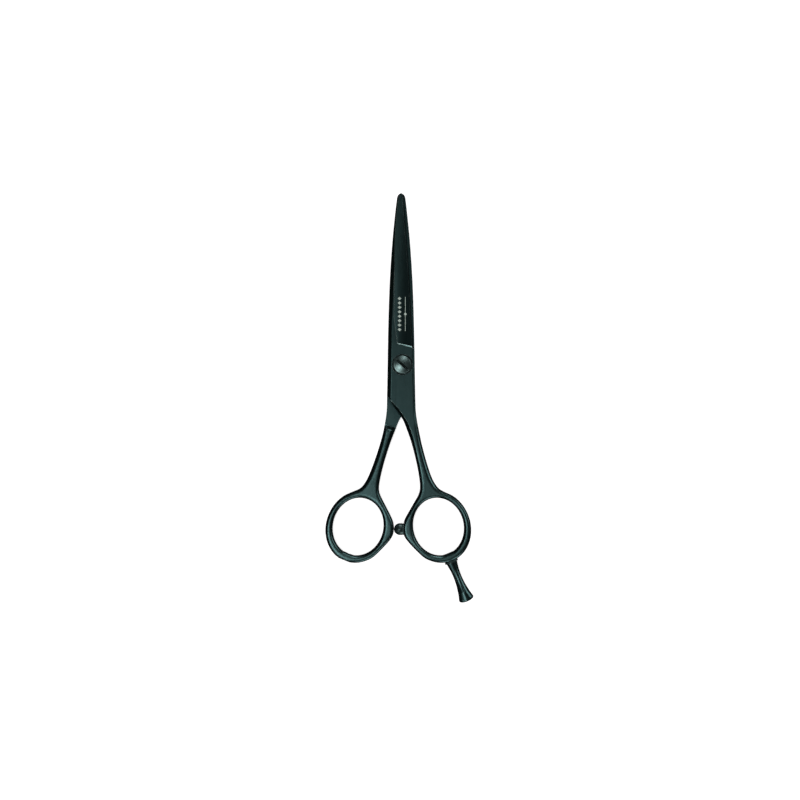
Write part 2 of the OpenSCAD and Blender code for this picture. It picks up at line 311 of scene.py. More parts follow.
def slice_off(bm, point, normal):
    """Cuts off what lies beyond a plane, and closes the cut with a flat face."""
    everything = bm.verts[:] + bm.edges[:] + bm.faces[:]
    cut = bmesh.ops.bisect_plane(
        bm, geom=everything, dist=1e-5, plane_co=point, plane_no=normal, clear_outer=True
    )
    rim = [e for e in cut["geom_cut"] if isinstance(e, bmesh.types.BMEdge)]
    bmesh.ops.edgenet_fill(bm, edges=rim)


def prism(section, ends):
    """A prism along Y between its two ends, from its (x, z) section."""
    bm = bmesh.new()
    low, high = ([bm.verts.new((x, y, z)) for x, z in section] for y in ends)
    skin(bm, low, high)
    bm.faces.new(low[::-1])
    bm.faces.new(high)
    bmesh.ops.recalc_face_normals(bm, faces=bm.faces)
    return bm


def lathe(profile, count=96, closed=False):
    """A solid turned about Z from [radius, height] pairs, lowest first. It starts and ends on the
    axis, or, where it is closed, its profile is a loop round the section of a ring."""
    bm = bmesh.new()
    rings = []
    for r, z in profile:
        if r < 1e-6:
            rings.append([bm.verts.new((0, 0, z))] * count)
            continue
        turns = [2 * math.pi * i / count for i in range(count)]
        rings.append([bm.verts.new((r * math.cos(t), r * math.sin(t), z)) for t in turns])
    pairs = list(zip(rings, rings[1:]))
    if closed:
        pairs.append((rings[-1], rings[0]))
    for low, high in pairs:
        for i in range(count):
            j = (i + 1) % count
            corner = list(dict.fromkeys((low[i], low[j], high[j], high[i])))
            bm.faces.new(corner)
    bmesh.ops.recalc_face_normals(bm, faces=bm.faces)
    return bm


def arc(centre, radius, first, last, count):
    """[radius, height] pairs of an arc in a lathe's profile, its angles in degrees."""
    return [
        [centre[0] + radius * math.cos(math.radians(t)), centre[1] + radius * math.sin(math.radians(t))]
        for t in np.linspace(first, last, count)
    ]


def thread_rows(low, high, pitch):
    """Heights close enough together to carry a thread."""
    return np.linspace(low, high, max(2, round((high - low) / pitch * 6)))


def cut_thread(bm, radius, low, high, pitch, depth):
    """Presses a helical thread into the part of a turned piece that has that radius."""
    fade = pitch / 2
    for v in bm.verts:
        r = math.hypot(v.co.x, v.co.y)
        if abs(r - radius) > 1e-4 or not low < v.co.z < high:
            continue
        turn = math.atan2(v.co.y, v.co.x) / (2 * math.pi)
        wave = abs(2 * ((v.co.z / pitch - turn) % 1) - 1)
        share = min(1, (v.co.z - low) / fade, (high - v.co.z) / fade)
        new = (radius - depth * wave * share) / r
        v.co.x *= new
        v.co.y *= new


def linked(name, bm):
    """A new object in the scene with the mesh of bm, still in millimetres."""
    mesh = bpy.data.meshes.new(name)
    bm.to_mesh(mesh)
    bm.free()
    made = bpy.data.objects.new(name, mesh)
    bpy.context.scene.collection.objects.link(made)
    return made


def carve(bm, *cutters):
    """bm less its cutters."""
    target = linked("carve_target", bm)
    tools = [linked("carve_tool", cutter) for cutter in cutters]
    for tool in tools:
        cut = target.modifiers.new("cut", "BOOLEAN")
        cut.object = tool
        cut.operation = "DIFFERENCE"
        cut.solver = "EXACT"
    bpy.context.view_layer.update()
    result = target.evaluated_get(bpy.context.evaluated_depsgraph_get())
    made = bmesh.new()
    made.from_mesh(result.to_mesh())
    result.to_mesh_clear()
    for temporary in [target] + tools:
        mesh = temporary.data
        bpy.data.objects.remove(temporary)
        bpy.data.meshes.remove(mesh)
    return made


def moved(bm, matrix):
    """bm itself, moved by a matrix."""
    bmesh.ops.transform(bm, matrix=matrix, verts=bm.verts)
    return bm


def piece(name, bm, body, slot, material, *replaced, sharp=30):
    """Makes a finished piece from bm, smooth but for its sharp edges, and puts it on its body."""
    bmesh.ops.scale(bm, vec=(MM, MM, MM), verts=bm.verts)
    limit = math.radians(sharp)
    for face in bm.faces:
        face.smooth = True
    for edge in bm.edges:
        edge.smooth = len(edge.link_faces) == 2 and edge.calc_face_angle() < limit
    made = linked(name, bm)
    made.data.materials.append(material)
    even = made.modifiers.new("even_normals", "WEIGHTED_NORMAL")
    even.keep_sharp = True
    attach(made, body)
    if replaced:
        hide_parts(*replaced)
    return made


# Where the two halves' plans lie in the frame.
FRONT = Matrix.Translation((MID_X, 0, HALF_T))
REAR = FRONT @ Matrix.Rotation(math.pi, 4, "Y")


def seat_frame(splay):
    """The frame of a ring's outer seat: its origin on the seat, and +Z out of the ring."""
    return (
        Matrix.Translation((RING_V + splay, RING_Y, 0))
        @ Matrix.Rotation(SEAT_ANGLE, 4, "Z")
        @ Matrix.Rotation(math.pi / 2, 4, "X")
        @ Matrix.Translation((SEAT_SHIFT, 0, SEAT_R))
    )


# ---------------------------------------------------------------- blades

SPINE_LINE = [
    (TIP_W, TIP_Y), (1.95, 60), (3, 50), (3.8, 40), (4.37, 30), (4.72, 20), (4.96, 10), (5.1, 0),
    (5.22, -6), (5.33, -11.7),
]
CROSS_LINE = [(-5.33, -12), (-3.5, -14.8), (-1.6, -17.4), (0, -19.75), (1.1, -21.8), (2.6, -25.6)]
# The ridge between the spine's bevel and the crossing's.
RIDGE_LOW = Vector((-5.33, -11.7, HALF_T - SPINE[0, 1]))
RIDGE_HIGH = Vector((-4.05, -13.35, HALF_T))
PLATE_LINE = [
    (5.04, 6.2), (5.12, 0), (5.22, -6), (5.35, -12.6), (5.5, -17.3), (6.1, -21.8), (6.9, -25.6),
]


def edge_inset(y):
    """How far the cutting edge lies inside the other half's spine."""
    return (EDGE_INSET + EDGE_MORE * smooth((y - 10) / 15)) * np.minimum(1, (TIP_Y + 6 - y) / 12)


def tip_side(width, side, first):
    """One side of the rounded tip, from its top down, with each point's share of the way down."""
    degrees = np.arange(first, 3, -6)
    t = np.radians(degrees)
    points = np.stack([side * width * np.cos(t), TIP_Y + TIP_LEN * np.sin(t)], axis=1)
    return points, smooth((90 - degrees) / 84)


def clear_of(corner, gap, points):
    """The points that lie far enough from a sharp corner for their bevels not to cross."""
    return points[np.linalg.norm(points - corner, axis=1) > gap]


def blade_outline():
    """A blade's outline with its edge sections, down the spine and up the cutting edge, and where
    its crossing corner and its square end lie."""
    tip_left, _ = tip_side(TIP_W, -1, 90)
    corner = np.array(CROSS_LINE[0])
    spine = curve(SPINE_LINE, 150) * [-1, 1]
    cross = clear_of(corner, 2.4, curve(CROSS_LINE, 60))
    edge = curve([(v - edge_inset(y), y) for v, y in SPINE_LINE[:7]] + [(4.41, 6.6)], 140)
    heel = np.array(PLATE_LINE[:1])
    plate = np.concatenate([heel, clear_of(heel, 0.9, curve(PLATE_LINE, 70))])
    tip_right, share = tip_side(TIP_W - edge_inset(TIP_Y), 1, 84)
    left = [
        (tip_left, run(tip_left[:, 1], SPINE_TIP)),
        (spine, run(spine[:, 1], SPINE_TIP, (60, 24, SPINE_MID), (30, 20, SPINE))),
        (corner[None], mix(SPINE, CROSS_START, [1])),
        (cross, cross_sections(cross[:, 1])),
    ]
    right = [
        (tip_right, mix(SPINE_TIP, EDGE, share)),
        (edge, run(edge[:, 1], EDGE)),
        (plate, outer_sections(plate[:, 1])),
    ]
    runs = left + [(points[::-1], sections[::-1]) for points, sections in right[::-1]]
    turn = len(tip_left) + len(spine)
    end = turn + 1 + len(cross)
    return np.concatenate([r[0] for r in runs]), np.concatenate([r[1] for r in runs]), turn, end


def ground_drop(across):
    """How far the ground face lies below the land, so far across from its highest line. It is
    convex, and straight beyond its reach."""
    rounded_part = min(across, GRIND_REACH)
    fall = rounded_part**2 / (2 * GRIND_REACH) + max(0, across - GRIND_REACH)
    return CREST_DEPTH + GRIND_SLOPE * fall


def grinder(tilt, lean, back):
    """What grinding takes off a blade over its convex ground face, down to a step that lies so far
    back from the heel, tilted in plan, with its wall leaning off the vertical."""
    across = list(np.linspace(GRIND_START, GRIND_REACH, 20)) + [12]
    section = [(s, -ground_drop(s)) for s in across] + [(12, 4), (GRIND_START - 0.1, 4)]
    bm = prism(section, (-10, 70))
    place = Matrix.Translation((*CREST, HALF_T)) @ Matrix.Rotation(CREST_TURN, 4, "Z")
    moved(bm, place @ Matrix.Rotation(-THINNING, 4, "X"))
    slice_off(bm, (*LAND_START, 0), (-math.cos(LAND_LEAN), -math.sin(LAND_LEAN), 0))
    heel = Vector((*HEEL, HALF_T))
    plan = Matrix.Rotation(tilt, 3, "Z")
    wall = plan @ Matrix.Rotation(lean, 3, "X")
    slice_off(bm, heel - plan @ Vector((0, back, 0)), wall @ Vector((0, -1, 0)))
    return bm


def blade():
    """One blade with its pivot plate, in its half's plan, before the pivot is machined."""
    points, sections, turn, end = blade_outline()
    normals = inward(points, end)
    bm = bmesh.new()
    rows = [row(bm, points, np.full(len(points), RIDE))]
    on_spine = np.arange(len(points)) <= turn
    for k in range(STEPS + 1):
        spots = points + normals * sections[:, k, 0][:, None]
        thinned = np.maximum(0, spots[:, 1] - HEEL[1]) * math.tan(THINNING)
        heights = HALF_T - sections[:, k, 1] - thinned * (on_spine | (k == STEPS))
        rows.append(row(bm, spots, heights))
        if k > 0:
            rows[-1][turn].co = RIDGE_LOW.lerp(RIDGE_HIGH, 1 - SPINE[k, 1] / SPINE[0, 1])
    for low, high in zip(rows, rows[1:]):
        skin(bm, low, high)
    bmesh.ops.connect_verts(bm, verts=[rows[1][turn - 1], rows[2][turn]])
    bm.faces.new(rows[0][::-1])
    bm.faces.new(rows[-1])
    everything = bm.verts[:] + bm.edges[:] + bm.faces[:]
    bmesh.ops.bisect_plane(bm, geom=everything, dist=1e-5, plane_co=(0, HEEL[1], 0), plane_no=(0, 1, 0))
    fade = math.atan((HOLLOW_DEPTH - 0.04) / (TIP_Y - HOLLOW_Y))
    hollow = lathe([[0, 0], [HOLLOW_R, 0], [HOLLOW_R, BIG], [0, BIG]], 720)
    moved(
        hollow,
        Matrix.Translation((0, HOLLOW_Y, RIDE + HOLLOW_DEPTH))
        @ Matrix.Rotation(-fade, 4, "X")
        @ Matrix.Translation((0, 0, -HOLLOW_R))
        @ Matrix.Rotation(-math.pi / 2, 4, "X"),
    )
    chamfer = grinder(CHAMFER_TILT, math.radians(50), HEEL_CHAMFER)
    bm = carve(bm, grinder(HEEL_TILT, 0, 0), chamfer, hollow)
    out = Vector((math.sin(WELD_TILT), -math.cos(WELD_TILT), 0))
    slice_off(bm, (*WELD, 0), out)
    return bm


def front_blade():
    """The front blade, with the stepped hole for the bush and the screw's head."""
    top = 2 * HALF_T
    floor = top - RECESS_DEPTH
    hole = lathe([
        [0, -1], [BUSH_R + 0.01, -1], [BUSH_R + 0.01, floor], [RECESS_R, floor],
        [RECESS_R, top - 0.15], [RECESS_R + 0.25, top + 0.1], [0, top + 0.1],
    ])
    return carve(moved(blade(), FRONT), hole)


def rear_blade():
    """The rear blade, with the hole that the screw's thread runs in."""
    r = THREAD_R + 0.03
    hole = lathe([[0, -0.1], [r + 0.3, -0.1], [r, 0.2], [r, 5], [0, 5]])
    return carve(moved(blade(), REAR), hole)


# ---------------------------------------------------------------- handles

OUTER_LINE = [
    (5.45, -17.3), (6.1, -21.8), (7, -26.4), (8, -30.9), (9.2, -35.4), (10.6, -40), (12.05, -43.7),
    (14, -46.6),
]
INNER_LINE = [
    (0.3, -20.2), (2, -24.1), (3.6, -28.6), (4.87, -33.2), (5.92, -37.7), (6.75, -42.2),
    (7.15, -46.4), (6.65, -48.9), (5.5, -51), (3.25, -54.9), (1.15, -58.8), (0.55, -62.1),
    (1.75, -65.8),
]


def lean_out(points, splay):
    """Points leant out by the splay, in full from the ring's centre down."""
    return [(v + splay * min(1, max(0, (SPLAY_Y - y) / (SPLAY_Y - RING_Y))), y) for v, y in points]


def even(points, spacing):
    """A line of points at an even spacing, with its kinks smoothed out."""
    along = np.concatenate([[0], np.cumsum(np.linalg.norm(np.diff(points, axis=0), axis=1))])
    count = round(along[-1] / spacing)
    at = np.linspace(0, along[-1], count)
    points = np.stack([np.interp(at, along, points[:, k]) for k in (0, 1)], axis=1)
    for _ in range(6):
        points[1:-1] = (points[:-2] + 2 * points[1:-1] + points[2:]) / 4
    return points


def handle_outline(splay):
    """A handle's outline with its edge sections, down its inner side and up its outer one."""
    centre = (RING_V + splay, RING_Y)
    inner_ring = ellipse(centre, RING_A, RING_B, RING_LEAN, [125, 141, 157, 173])
    outer_ring = ellipse(centre, RING_A, RING_B, RING_LEAN, [326 - i * 18.6 for i in range(9)])
    inner = even(curve(lean_out(INNER_LINE, splay) + list(inner_ring), 400), 0.45)
    outer = even(curve(lean_out(OUTER_LINE, splay) + list(outer_ring), 400), 0.45)[::-1]
    sections = np.concatenate([inner_sections(inner[:, 1]), outer_sections(outer[:, 1])])
    return np.concatenate([inner, outer]), sections


def hole_outline(splay, grow):
    """The outline of a finger opening, with the flat pad that the rest's thread runs through."""
    centre = np.array([RING_V + splay, RING_Y])
    points = ellipse(centre, HOLE_A + grow, HOLE_B + grow, HOLE_LEAN, np.arange(0, 360, 2.25))
    down = np.array([math.sin(SEAT_ANGLE), -math.cos(SEAT_ANGLE)])
    beyond = np.maximum(0, (points - centre) @ down - PAD_R - grow)
    return points - beyond[:, None] * down


def blend_in(bm):
    """Lets a handle rise in a smooth ramp from the inner face of its blade."""
    into = Vector((math.sin(WELD_TILT), -math.cos(WELD_TILT), 0))
    for v in bm.verts:
        if v.co.z < RIDE:
            depth = (v.co - Vector((*WELD, 0))).dot(into) / RAMP_LEN
            v.co.z = RIDE + (v.co.z - RIDE) * float(smooth(depth))


def handle(splay):
    """One shank with its finger ring, in its half's plan, before its holes are drilled."""
    points, sections = handle_outline(splay)
    normals = inward(points, 0)
    steps = list(range(STEPS + 1))
    sides = [(-1, k) for k in reversed(steps)] + [(1, k) for k in steps]
    bm = bmesh.new()
    outside, opening = [], []
    for side, k in sides:
        spots = points + normals * sections[:, k, 0][:, None]
        outside.append(row(bm, spots, side * (HALF_T - sections[:, k, 1])))
        rim = hole_outline(splay, RING_EDGE[k, 0])
        height = side * (HALF_T - RING_EDGE[k, 1])
        opening.append(row(bm, rim, np.full(len(rim), height)))
    for low, high in zip(outside, outside[1:]):
        skin(bm, low, high)
    for low, high in zip(opening, opening[1:]):
        skin(bm, high, low)
    cap(bm, outside[0], [opening[0]], 0.55, False)
    cap(bm, outside[-1], [opening[-1]], 0.55, True)
    slice_off(bm, (*WELD, 0), (-math.sin(WELD_TILT), math.cos(WELD_TILT), 0))
    blend_in(bm)
    seat = seat_frame(splay)
    slice_off(bm, seat.translation, seat.to_3x3() @ Vector((0, 0, 1)))
    return bm


def front_handle():
    """The finger handle, with the bumper's flat and the holes for its two studs."""
    bm = moved(handle(0), FRONT)
    slice_off(bm, (bumper_high.x, 0, 0), (-1, 0, 0))
    pin = lathe([[0, -2.2], [BUMPER_STUD_R + 0.01, -2.2], [BUMPER_STUD_R + 0.01, 1], [0, 1]], 64)
    rest = lathe([[0, -5], [STUD_R + 0.01, -5], [STUD_R + 0.01, 5], [0, 5]], 64)
    return carve(bm, moved(pin, bumper_frame()), moved(rest, FRONT @ seat_frame(0)))


def rear_handle():
    """The thumb handle, with the spare threaded hole for a rest."""
    deep = SEAT_R - PAD_R
    low, high = 0.35 - deep, -0.35
    rows = thread_rows(low, high, 0.45)
    tap = lathe(
        [[0, -deep - 1], [STUD_R + 1.35, -deep - 1], [STUD_R, low]]
        + [[STUD_R, z] for z in rows[1:-1]]
        + [[STUD_R, high], [STUD_R + 1.35, 1], [0, 1]],
        64,
    )
    cut_thread(tap, STUD_R, low, high, 0.45, 0.18)
    return carve(moved(handle(SPLAY), REAR), moved(tap, REAR @ seat_frame(SPLAY)))


# ---------------------------------------------------------------- small parts


def pivot_screw():
    """The pivot screw: threaded end, plain journal, and a domed head with a chamfered slot."""
    top, low = screw_high.z, screw_low.z
    under = 2 * HALF_T - RECESS_DEPTH + FLANGE_T + 0.02
    dome, side = 0.5, 0.2
    rim_z = top - dome - side / 2
    dome_r = (HEAD_R**2 + dome**2) / (2 * dome)
    lean = math.degrees(math.asin((HEAD_R - side) / dome_r))
    rows = thread_rows(low + 0.3, HALF_T - 0.1, 0.35)
    bm = lathe(
        [[0, low + 0.12], [0.5, low + 0.12], [0.8, low], [THREAD_R - 0.3, low]]
        + [[THREAD_R, z] for z in rows]
        + [[THREAD_R, HALF_T], [JOURNAL_R, HALF_T], [JOURNAL_R, under]]
        + [[HEAD_R - 0.1, under], [HEAD_R, under + 0.1]]
        + arc((HEAD_R - side, rim_z), side, 0, 90 - lean, 6)
        + arc((0, top - dome_r), dome_r, 90 - lean, 90, 14)[1:-1]
        + [[0, top]],
        128,
    )
    cut_thread(bm, THREAD_R, low + 0.3, HALF_T - 0.1, 0.35, 0.12)
    half, deep, lip_low, lip_out, over = 0.45, 0.85, 0.1, 0.7, 0.15
    section = [
        (-half, -deep), (half, -deep), (half, -lip_low), (lip_out, over), (-lip_out, over),
        (-half, -lip_low),
    ]
    slot = prism([(x, top + z) for x, z in section], (-5, 5))
    return carve(bm, moved(slot, Matrix.Rotation(math.radians(48), 4, "Z")))


def pivot_bush():
    """The flanged nylon bush that the screw's journal turns in."""
    low, floor = HALF_T + RIDE, 2 * HALF_T - RECESS_DEPTH
    inner, flange = JOURNAL_R + 0.03, RECESS_R - 0.03
    top = floor + FLANGE_T
    return lathe(
        [
            [inner, low + 0.1], [inner + 0.1, low], [BUSH_R - 0.1, low], [BUSH_R, low + 0.1],
            [BUSH_R, floor], [flange - 0.05, floor], [flange, floor + 0.05],
            [flange, top - 0.08], [flange - 0.08, top], [inner + 0.1, top], [inner, top - 0.1],
        ],
        closed=True,
    )


def bumper_frame():
    """The frame of the bumper: its origin on the seat, and +Z out towards the other ring."""
    y = (bumper_low.y + bumper_high.y) / 2
    seat = Matrix.Translation((bumper_high.x, y, HALF_T))
    return seat @ Matrix.Rotation(-math.pi / 2, 4, "Y")


def bumper():
    """The rubber bumper: a ball end on a short foot, with a socket for its stud."""
    r, length = (bumper_high.y - bumper_low.y) / 2, bumper_high.x - bumper_low.x
    waist = length - r
    bm = lathe(
        [[0, 1.9], [BUMPER_STUD_R, 1.9], [BUMPER_STUD_R, 0], [r - 0.16, 0], [r - 0.04, 0.05]]
        + [[r, 0.16], [r, 0.34], [r - 0.1, 0.44], [r - 0.1, 0.52], [r - 0.01, 0.64]]
        + arc((0, waist), r, 0, 90, 22)[1:-1]
        + [[0, length]],
        96,
    )
    return moved(bm, bumper_frame())


REST_LINE = [
    (0, 2.1), (0.8, 1.95), (1.7, 1.82), (3.1, 1.62), (4.6, 1.54), (6.7, 1.54), (9.2, 1.74),
    (11.9, 2.18), (13.4, 2.55), (14.3, 2.8),
]
REST_END = 15.85


def flattened(bm):
    """Presses a turned piece to an oval section where it is thicker than the finger rest may be."""
    for v in bm.verts:
        r = math.hypot(v.co.x, v.co.y)
        v.co.y *= min(1, (REST_THICK - 0.01) / max(r, 1e-6))
    return bm


def finger_rest():
    """The finger rest: a waisted round tang that flares to a domed end."""
    line = curve(REST_LINE, 60)
    end = curve([(14.3, 2.8), (14.6, 2.86), (14.9, 2.82), (15.3, 2.5), (15.65, 1.7)], 20)[1:]
    profile = [[0, 4.1 + COLLAR_T], [STUD_R, 4.1 + COLLAR_T], [STUD_R, COLLAR_T]]
    profile += [[1.95, COLLAR_T], [2.08, COLLAR_T + 0.06]]
    profile += [[r, z + COLLAR_T] for z, r in line[3:]] + [[r, z + COLLAR_T] for z, r in end]
    profile += [[0.8, REST_END - 0.04 + COLLAR_T], [0, REST_END + COLLAR_T]]
    return moved(flattened(lathe(profile, 96)), FRONT @ seat_frame(0))


def finger_rest_collar():
    """The thin collar between the ring's seat and the finger rest."""
    soft = 0.16
    profile = [[STUD_R, 0], [COLLAR_R - soft, 0]]
    profile += arc((COLLAR_R - soft, soft), soft, -90, 0, 5)[1:]
    profile += arc((COLLAR_R - soft, COLLAR_T - soft), soft, 0, 90, 5)
    profile += [[STUD_R, COLLAR_T]]
    return moved(flattened(lathe(profile, 96, closed=True)), FRONT @ seat_frame(0))


def stud(radius, low, high, pitch):
    """A threaded stud with chamfered ends."""
    soft = 0.2
    rows = thread_rows(low + soft, high - soft, pitch)
    bm = lathe(
        [[0, low], [radius - soft, low]]
        + [[radius, z] for z in rows]
        + [[radius - soft, high], [0, high]],
        48,
    )
    cut_thread(bm, radius, low + soft, high - soft, pitch, 0.15)
    return bm


def ground_face(v, y, lift):
    """The point of the front blade's ground face over a plan point, in the frame."""
    away = Matrix.Rotation(-CREST_TURN, 3, "Z") @ Vector((v - CREST[0], y - CREST[1], 0))
    height = HALF_T - away.y * math.tan(THINNING) - ground_drop(away.x) + lift
    return FRONT @ Vector((v, y, height))


def mark_shape(bm, outline):
    """One thin raised shape of the mark, over a plan outline."""
    low, high = (
        [bm.verts.new(ground_face(v, y, lift)) for v, y in outline] for lift in (MARK_ROOT, MARK_LIFT)
    )
    skin(bm, low, high)
    bm.faces.new(low[::-1])
    middle = bm.verts.new(ground_face(*np.mean(outline, axis=0), MARK_LIFT))
    for first, second in zip(high, high[1:] + high[:1]):
        bm.faces.new((first, second, middle))


def blade_mark():
    """A plain mark: a row of lozenges beside a fine line with a small diamond on it."""
    bm = bmesh.new()
    count, first, last = 8, 13.2, 24.9
    v, half_v, half_y = -0.62, 0.72, 0.62
    for i in range(count):
        y = first + (last - first) * i / (count - 1)
        mark_shape(bm, [(v - half_v, y), (v, y - half_y), (v + half_v, y), (v, y + half_y)])
    v, half_v, low, middle, high, reach = 1.55, 0.09, 12.6, 19.05, 25.5, 0.6
    mark_shape(bm, [(v - half_v, low), (v + half_v, low), (v + half_v, high), (v - half_v, high)])
    mark_shape(bm, [(v - reach, middle), (v, middle - reach), (v + reach, middle), (v, middle + reach)])
    return bm


# ---------------------------------------------------------------- materials


def shader(name):
    """A new material with its node tree, its links and its main shader."""
    material = bpy.data.materials.new(name)
    material.use_nodes = True
    tree = material.node_tree
    return material, tree, tree.nodes["Principled BSDF"]


def node(tree, kind, **values):
    """A new shader node, each value set as one of its own settings or as an input's."""
    made = tree.nodes.new("ShaderNode" + kind)
    for key, value in values.items():
        if hasattr(made, key):
            setattr(made, key, value)
        else:
            made.inputs[key].default_value = value
    return made


def noise(tree, scale, detail, stretch=(1, 1, 1)):
    """A noise over the object's own coordinates, drawn out by stretch."""
    place = node(tree, "TexCoord")
    size = node(tree, "Mapping")
    size.inputs["Scale"].default_value = stretch
    made = node(tree, "TexNoise", Scale=scale, Detail=detail)
    tree.links.new(place.outputs["Object"], size.inputs["Vector"])
    tree.links.new(size.outputs["Vector"], made.inputs["Vector"])
    return made.outputs["Fac"]


def spread(tree, value, low, high, from_low=0.3, from_high=0.7):
    """A number that follows a noise between two limits."""
    made = node(tree, "MapRange")
    made.inputs["From Min"].default_value = from_low
    made.inputs["From Max"].default_value = from_high
    made.inputs["To Min"].default_value = low
    made.inputs["To Max"].default_value = high
    tree.links.new(value, made.inputs["Value"])
    return made.outputs["Result"]


def mixed(tree, share, first, second):
    """A colour between two others, each a colour or another node's output."""
    made = node(tree, "Mix", data_type="RGBA")
    tree.links.new(share, made.inputs["Factor"])
    for socket, colour in (("A", first), ("B", second)):
        into = [s for s in made.inputs if s.name == socket and s.type == "RGBA"][0]
        if isinstance(colour, tuple):
            into.default_value = (*colour, 1)
        else:
            tree.links.new(colour, into)
    return [s for s in made.outputs if s.type == "RGBA"][0]


def edges(tree, radius, first, last):
    """How much a point lies on a sharp edge: the turn between its own normal and a rounded one."""
    soft = node(tree, "Bevel", samples=4)
    soft.inputs["Radius"].default_value = radius
    plain = node(tree, "NewGeometry")
    dot = node(tree, "VectorMath", operation="DOT_PRODUCT")
    tree.links.new(soft.outputs["Normal"], dot.inputs[0])
    tree.links.new(plain.outputs["Normal"], dot.inputs[1])
    made = node(tree, "MapRange")
    made.inputs["From Min"].default_value = first
    made.inputs["From Max"].default_value = last
    tree.links.new(dot.outputs["Value"], made.inputs["Value"])
    return made.outputs["Result"]


def off_the_weld(tree):
    """1 away from the weld lines, which are ground flush, and 0 on them."""
    place = node(tree, "SeparateXYZ")
    tree.links.new(node(tree, "TexCoord").outputs["Object"], place.inputs["Vector"])
    aside = node(tree, "Math", operation="SUBTRACT")
    aside.inputs[1].default_value = MID_X * MM
    either = node(tree, "Math", operation="ABSOLUTE")
    into = node(tree, "CombineXYZ")
    along = node(tree, "VectorMath", operation="DOT_PRODUCT")
    along.inputs[1].default_value = (math.sin(WELD_TILT), -math.cos(WELD_TILT), 0)
    line = (WELD[0] * math.sin(WELD_TILT) - WELD[1] * math.cos(WELD_TILT)) * MM
    near = node(tree, "Math", operation="COMPARE")
    near.inputs[1].default_value, near.inputs[2].default_value = line, 0.4 * MM
    off = node(tree, "Math", operation="SUBTRACT")
    off.inputs[0].default_value = 1
    for source, target in [
        (place.outputs["X"], aside.inputs[0]),
        (aside.outputs["Value"], either.inputs[0]),
        (either.outputs["Value"], into.inputs["X"]),
        (place.outputs["Y"], into.inputs["Y"]),
        (into.outputs["Vector"], along.inputs[0]),
        (along.outputs["Value"], near.inputs[0]),
        (near.outputs["Value"], off.inputs[1]),
    ]:
        tree.links.new(source, target)
    return off.outputs["Value"]


def painted_crevice_shade(tree, reach, closed, tone, dark):
    """Painted shade: the tone, going over to a darker one where nearby surfaces close a spot in."""
    made = node(tree, "AmbientOcclusion", samples=4, Distance=reach)
    return mixed(tree, spread(tree, made.outputs["AO"], 0, 1, closed, 0.9), dark, tone)


def bump(tree, height, strength, distance):
    """A surface normal roughened by a height."""
    made = node(tree, "Bump", Strength=strength, Distance=distance)
    tree.links.new(height, made.inputs["Height"])
    return made.outputs["Normal"]


def coated_steel():
    """Satin black-green coated steel: faint cloudiness, fine brushing, sharp edges lighter from wear and a
    painted highlight, and painted shade where nearby surfaces close in.
    """
    material, tree, main = shader("coated_steel")
    cloud = noise(tree, 260, 3)
    brushing = noise(tree, 900, 2, (1, 0.06, 1))
    grain = noise(tree, 5200, 2)
    tone = mixed(tree, spread(tree, cloud, 0, 1), (0.028, 0.055, 0.055), (0.033, 0.062, 0.062))
    tone = mixed(tree, spread(tree, brushing, 0, 0.35), tone, (0.038, 0.067, 0.067))
    # Sharp edges go lighter, except on the weld lines: partly wear of the coating, partly a painted
    # highlight.
    wear_and_highlight = node(tree, "Math", operation="MULTIPLY")
    tree.links.new(edges(tree, 0.00022, 0.985, 0.955), wear_and_highlight.inputs[0])
    tree.links.new(off_the_weld(tree), wear_and_highlight.inputs[1])
    tone = mixed(tree, wear_and_highlight.outputs["Value"], tone, (0.2, 0.26, 0.25))
    # Painted shade: darker where nearby surfaces close a spot in, as by the pivot, the weld step and the
    # crossing.
    tone = painted_crevice_shade(tree, 0.003, 0.35, tone, (0.008, 0.018, 0.02))
    tree.links.new(tone, main.inputs["Base Color"])
    tree.links.new(spread(tree, brushing, 0.272, 0.292), main.inputs["Roughness"])
    tree.links.new(bump(tree, grain, 0.12, 0.00001), main.inputs["Normal"])
    main.inputs["Metallic"].default_value = 1
    return material


def polished_steel():
    """Dark polished steel with fine scratches, its sharp edges lighter from wear and a painted highlight, and
    painted shade that blackens its slot and corners.
    """
    material, tree, main = shader("polished_steel")
    cloud = noise(tree, 700, 3)
    scratches = noise(tree, 2600, 3, (1, 0.3, 1))
    tone = mixed(tree, spread(tree, cloud, 0, 1), (0.082, 0.122, 0.119), (0.1, 0.145, 0.141))
    # Sharp edges, such as the slot's lips, go lighter: partly wear, partly a painted highlight.
    wear_and_highlight = edges(tree, 0.0001, 0.985, 0.93)
    tone = mixed(tree, wear_and_highlight, tone, (0.16, 0.2, 0.195))
    # Painted shade: the slot and the corners go nearly black where nearby surfaces close them in.
    tone = painted_crevice_shade(tree, 0.0015, 0.55, tone, (0.001, 0.002, 0.002))
    tree.links.new(tone, main.inputs["Base Color"])
    tree.links.new(spread(tree, scratches, 0.26, 0.34), main.inputs["Roughness"])
    tree.links.new(bump(tree, scratches, 0.1, 0.00001), main.inputs["Normal"])
    main.inputs["Metallic"].default_value = 1
    return material


def dark_polymer(name, tones, roughness, grain_scale, strength):
    """A dark moulded material with a fine skin: nylon or rubber."""
    material, tree, main = shader(name)
    cloud = noise(tree, 500, 3)
    grain = noise(tree, grain_scale, 3)
    tree.links.new(mixed(tree, spread(tree, cloud, 0, 1), *tones), main.inputs["Base Color"])
    tree.links.new(spread(tree, grain, *roughness), main.inputs["Roughness"])
    tree.links.new(bump(tree, grain, strength, 0.00002), main.inputs["Normal"])
    main.inputs["Specular Tint"].default_value = (0.55, 0.85, 0.83, 1)
    return material


